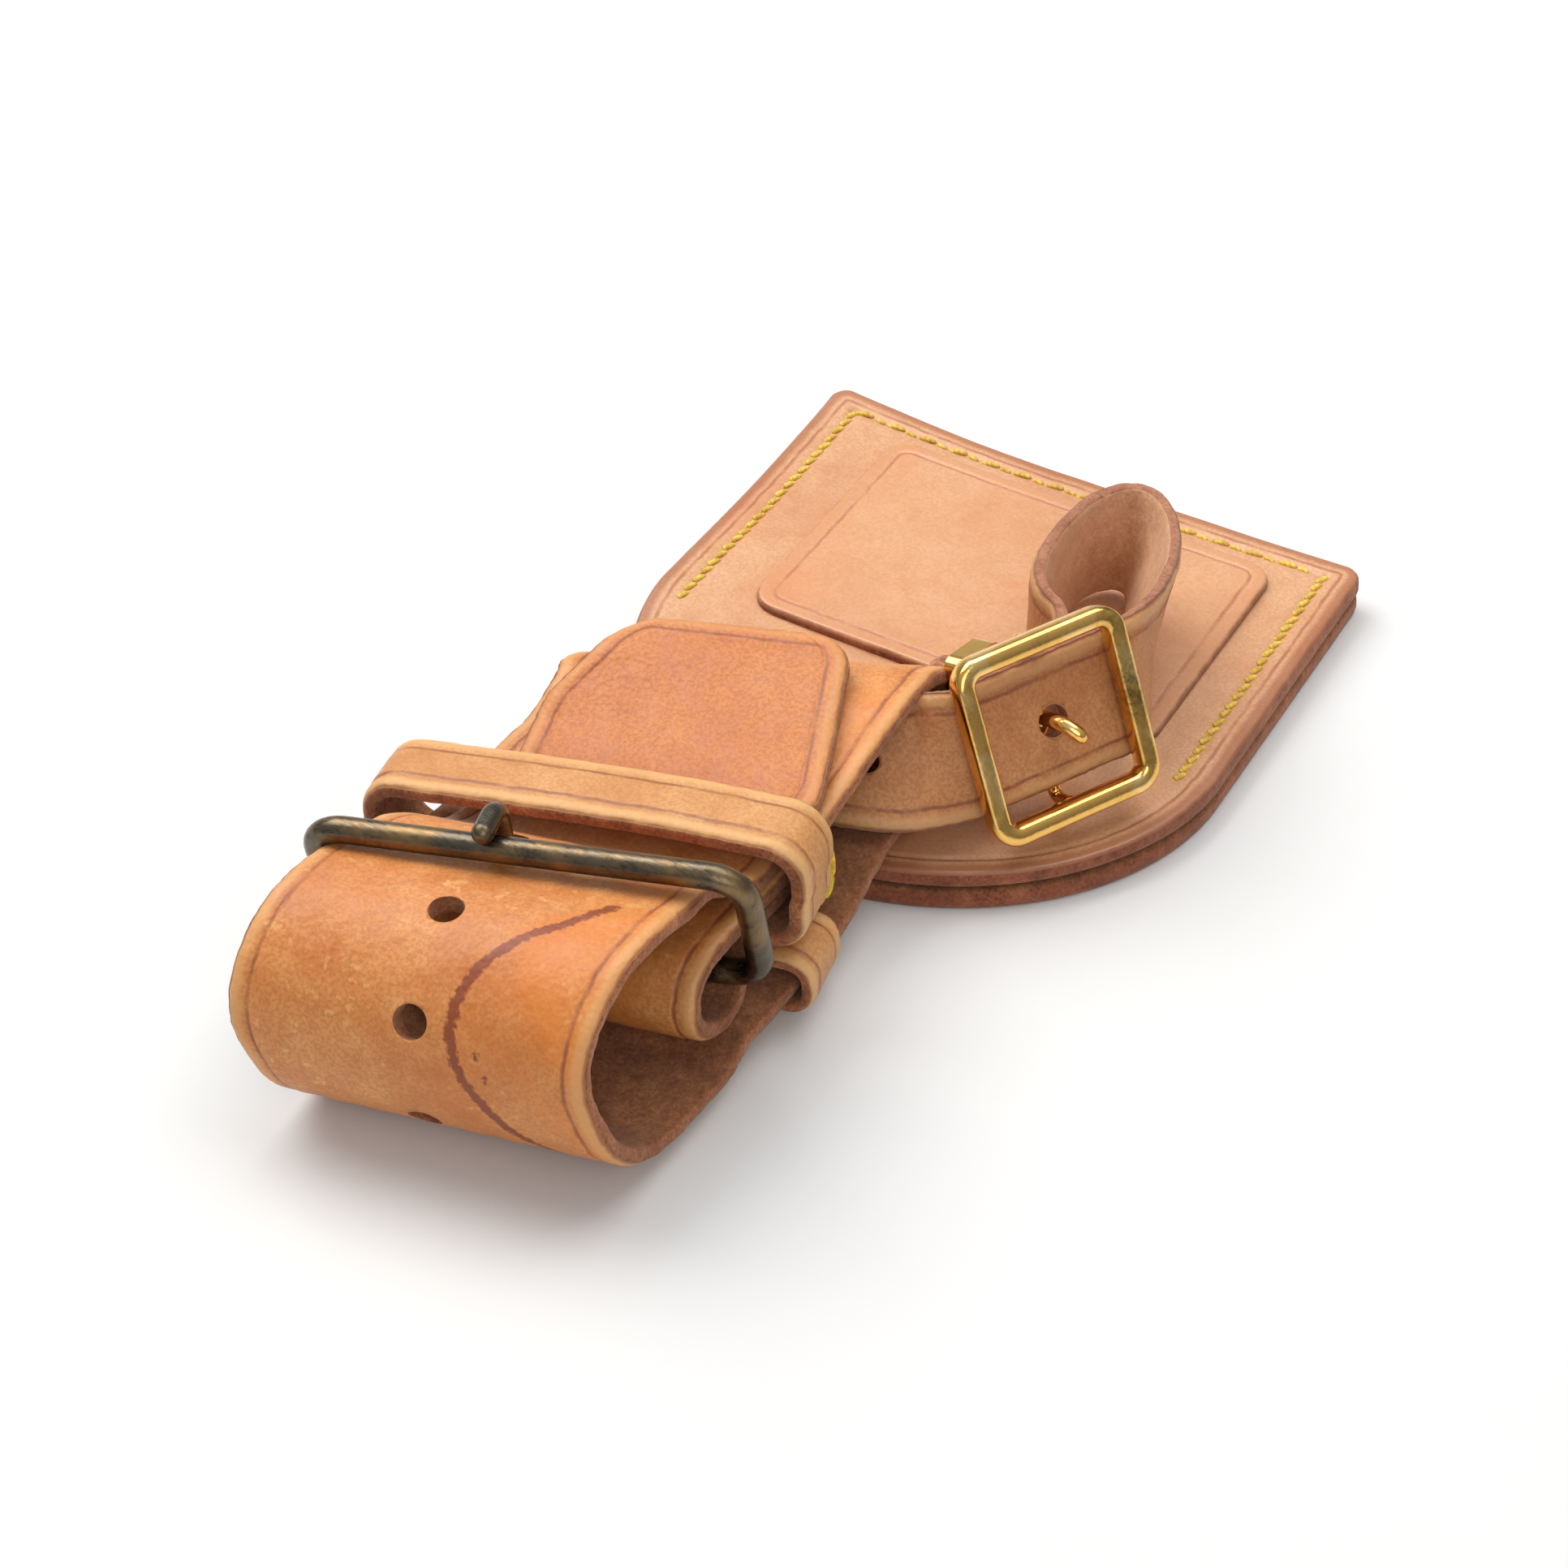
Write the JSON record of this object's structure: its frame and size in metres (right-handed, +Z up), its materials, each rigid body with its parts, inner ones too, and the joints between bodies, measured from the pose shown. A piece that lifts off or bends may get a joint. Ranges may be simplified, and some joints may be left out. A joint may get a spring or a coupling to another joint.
{
  "type": "leather luggage tag",
  "caption": "Leather luggage tag: stitched card pocket with a narrow buckled strap, threaded through a wide looped handle strap with a wire buckle.",
  "frame": {"origin": "on the table under the tag pocket, on its centreline, at the near ends of its side stitching", "axes": "+X across the pocket, +Y along it toward the stitched far end, +Z up from the table"},
  "size_m": [0.0705, 0.1328, 0.0302],
  "materials": {
    "tag_leather": "smooth, soft gloss",
    "strap_leather": "aged, mottled honey",
    "narrow_leather": "aged, brushed grain",
    "keeper_leather": "pale, creased",
    "clear_film": "clear",
    "card": "plain card",
    "thread": "waxed thread",
    "keeper_thread": "waxed thread",
    "dark_metal": "aged bronze",
    "gold_metal": "polished"
  },
  "bodies": {
    "pocket": {"back_panel": "tag_leather", "window_film": "clear_film", "front_panel": "tag_leather", "raised_pad": "tag_leather", "stitching_left": "thread", "stitching_right": "thread", "stitching_far": "thread"},
    "card": {"name_card": "card"},
    "narrow_strap": {"tag_strap": "narrow_leather", "gold_keeper": "gold_metal"},
    "square_buckle": {"gold_buckle_frame": "gold_metal", "gold_pivot_bar": "gold_metal"},
    "square_buckle_prong": {"gold_prong": "gold_metal"},
    "wide_strap": {"handle_strap": "strap_leather", "top_keeper": "keeper_leather", "keeper_stitches": "keeper_thread"},
    "lower_loop": {"lower_keeper": "keeper_leather"},
    "wire_buckle": {"handle_buckle_frame": "dark_metal"},
    "wire_buckle_prong": {"handle_buckle_prong": "dark_metal"},
    "tip": {"strap_tip": "strap_leather"}
  },
  "joints": [
    {"name": "card_slide", "type": "slide", "parent": "pocket", "child": "card", "axis": [0, -1, 0], "range_m": [0, 0.009]},
    {"name": "strap_swing", "type": "hinge", "parent": "pocket", "child": "narrow_strap", "pos_m": [-0.003, -0.0102, 0.0049], "axis": [0, 0, 1], "range_deg": [-1, 1]},
    {"name": "square_buckle_tilt", "type": "hinge", "parent": "narrow_strap", "child": "square_buckle", "pos_m": [0.01842, -0.01144, 0.01563], "axis": [-0.4015, 0.1715, 0.8997], "range_deg": [-1, 1]},
    {"name": "square_prong_tilt", "type": "hinge", "parent": "square_buckle", "child": "square_buckle_prong", "pos_m": [0.01842, -0.01144, 0.01563], "axis": [-0.4015, 0.1715, 0.8997], "range_deg": [-3, 3]},
    {"name": "wide_strap_slide", "type": "slide", "parent": "narrow_strap", "child": "wide_strap", "axis": [-1, 0, 0], "range_m": [0, 0.0015]},
    {"name": "lower_loop_slide", "type": "slide", "parent": "wide_strap", "child": "lower_loop", "axis": [-0.1561, 0.9877, -0.0109], "range_m": [0, 0.002]},
    {"name": "wire_buckle_tilt", "type": "hinge", "parent": "wide_strap", "child": "wire_buckle", "pos_m": [-0.01022, -0.06133, 0.01041], "axis": [-0.9637, -0.2623, -0.0497], "range_deg": [0, 1.5]},
    {"name": "wire_prong_tilt", "type": "hinge", "parent": "wire_buckle", "child": "wire_buckle_prong", "pos_m": [-0.01349, -0.06222, 0.01024], "axis": [-0.9637, -0.2623, -0.0497], "range_deg": [0, 4]},
    {"name": "tip_lift", "type": "hinge", "parent": "wide_strap", "child": "tip", "pos_m": [-0.00904, -0.04002, 0.01975], "axis": [0.9973, -0.0523, 0.0523], "range_deg": [0, 25]}
  ]
}
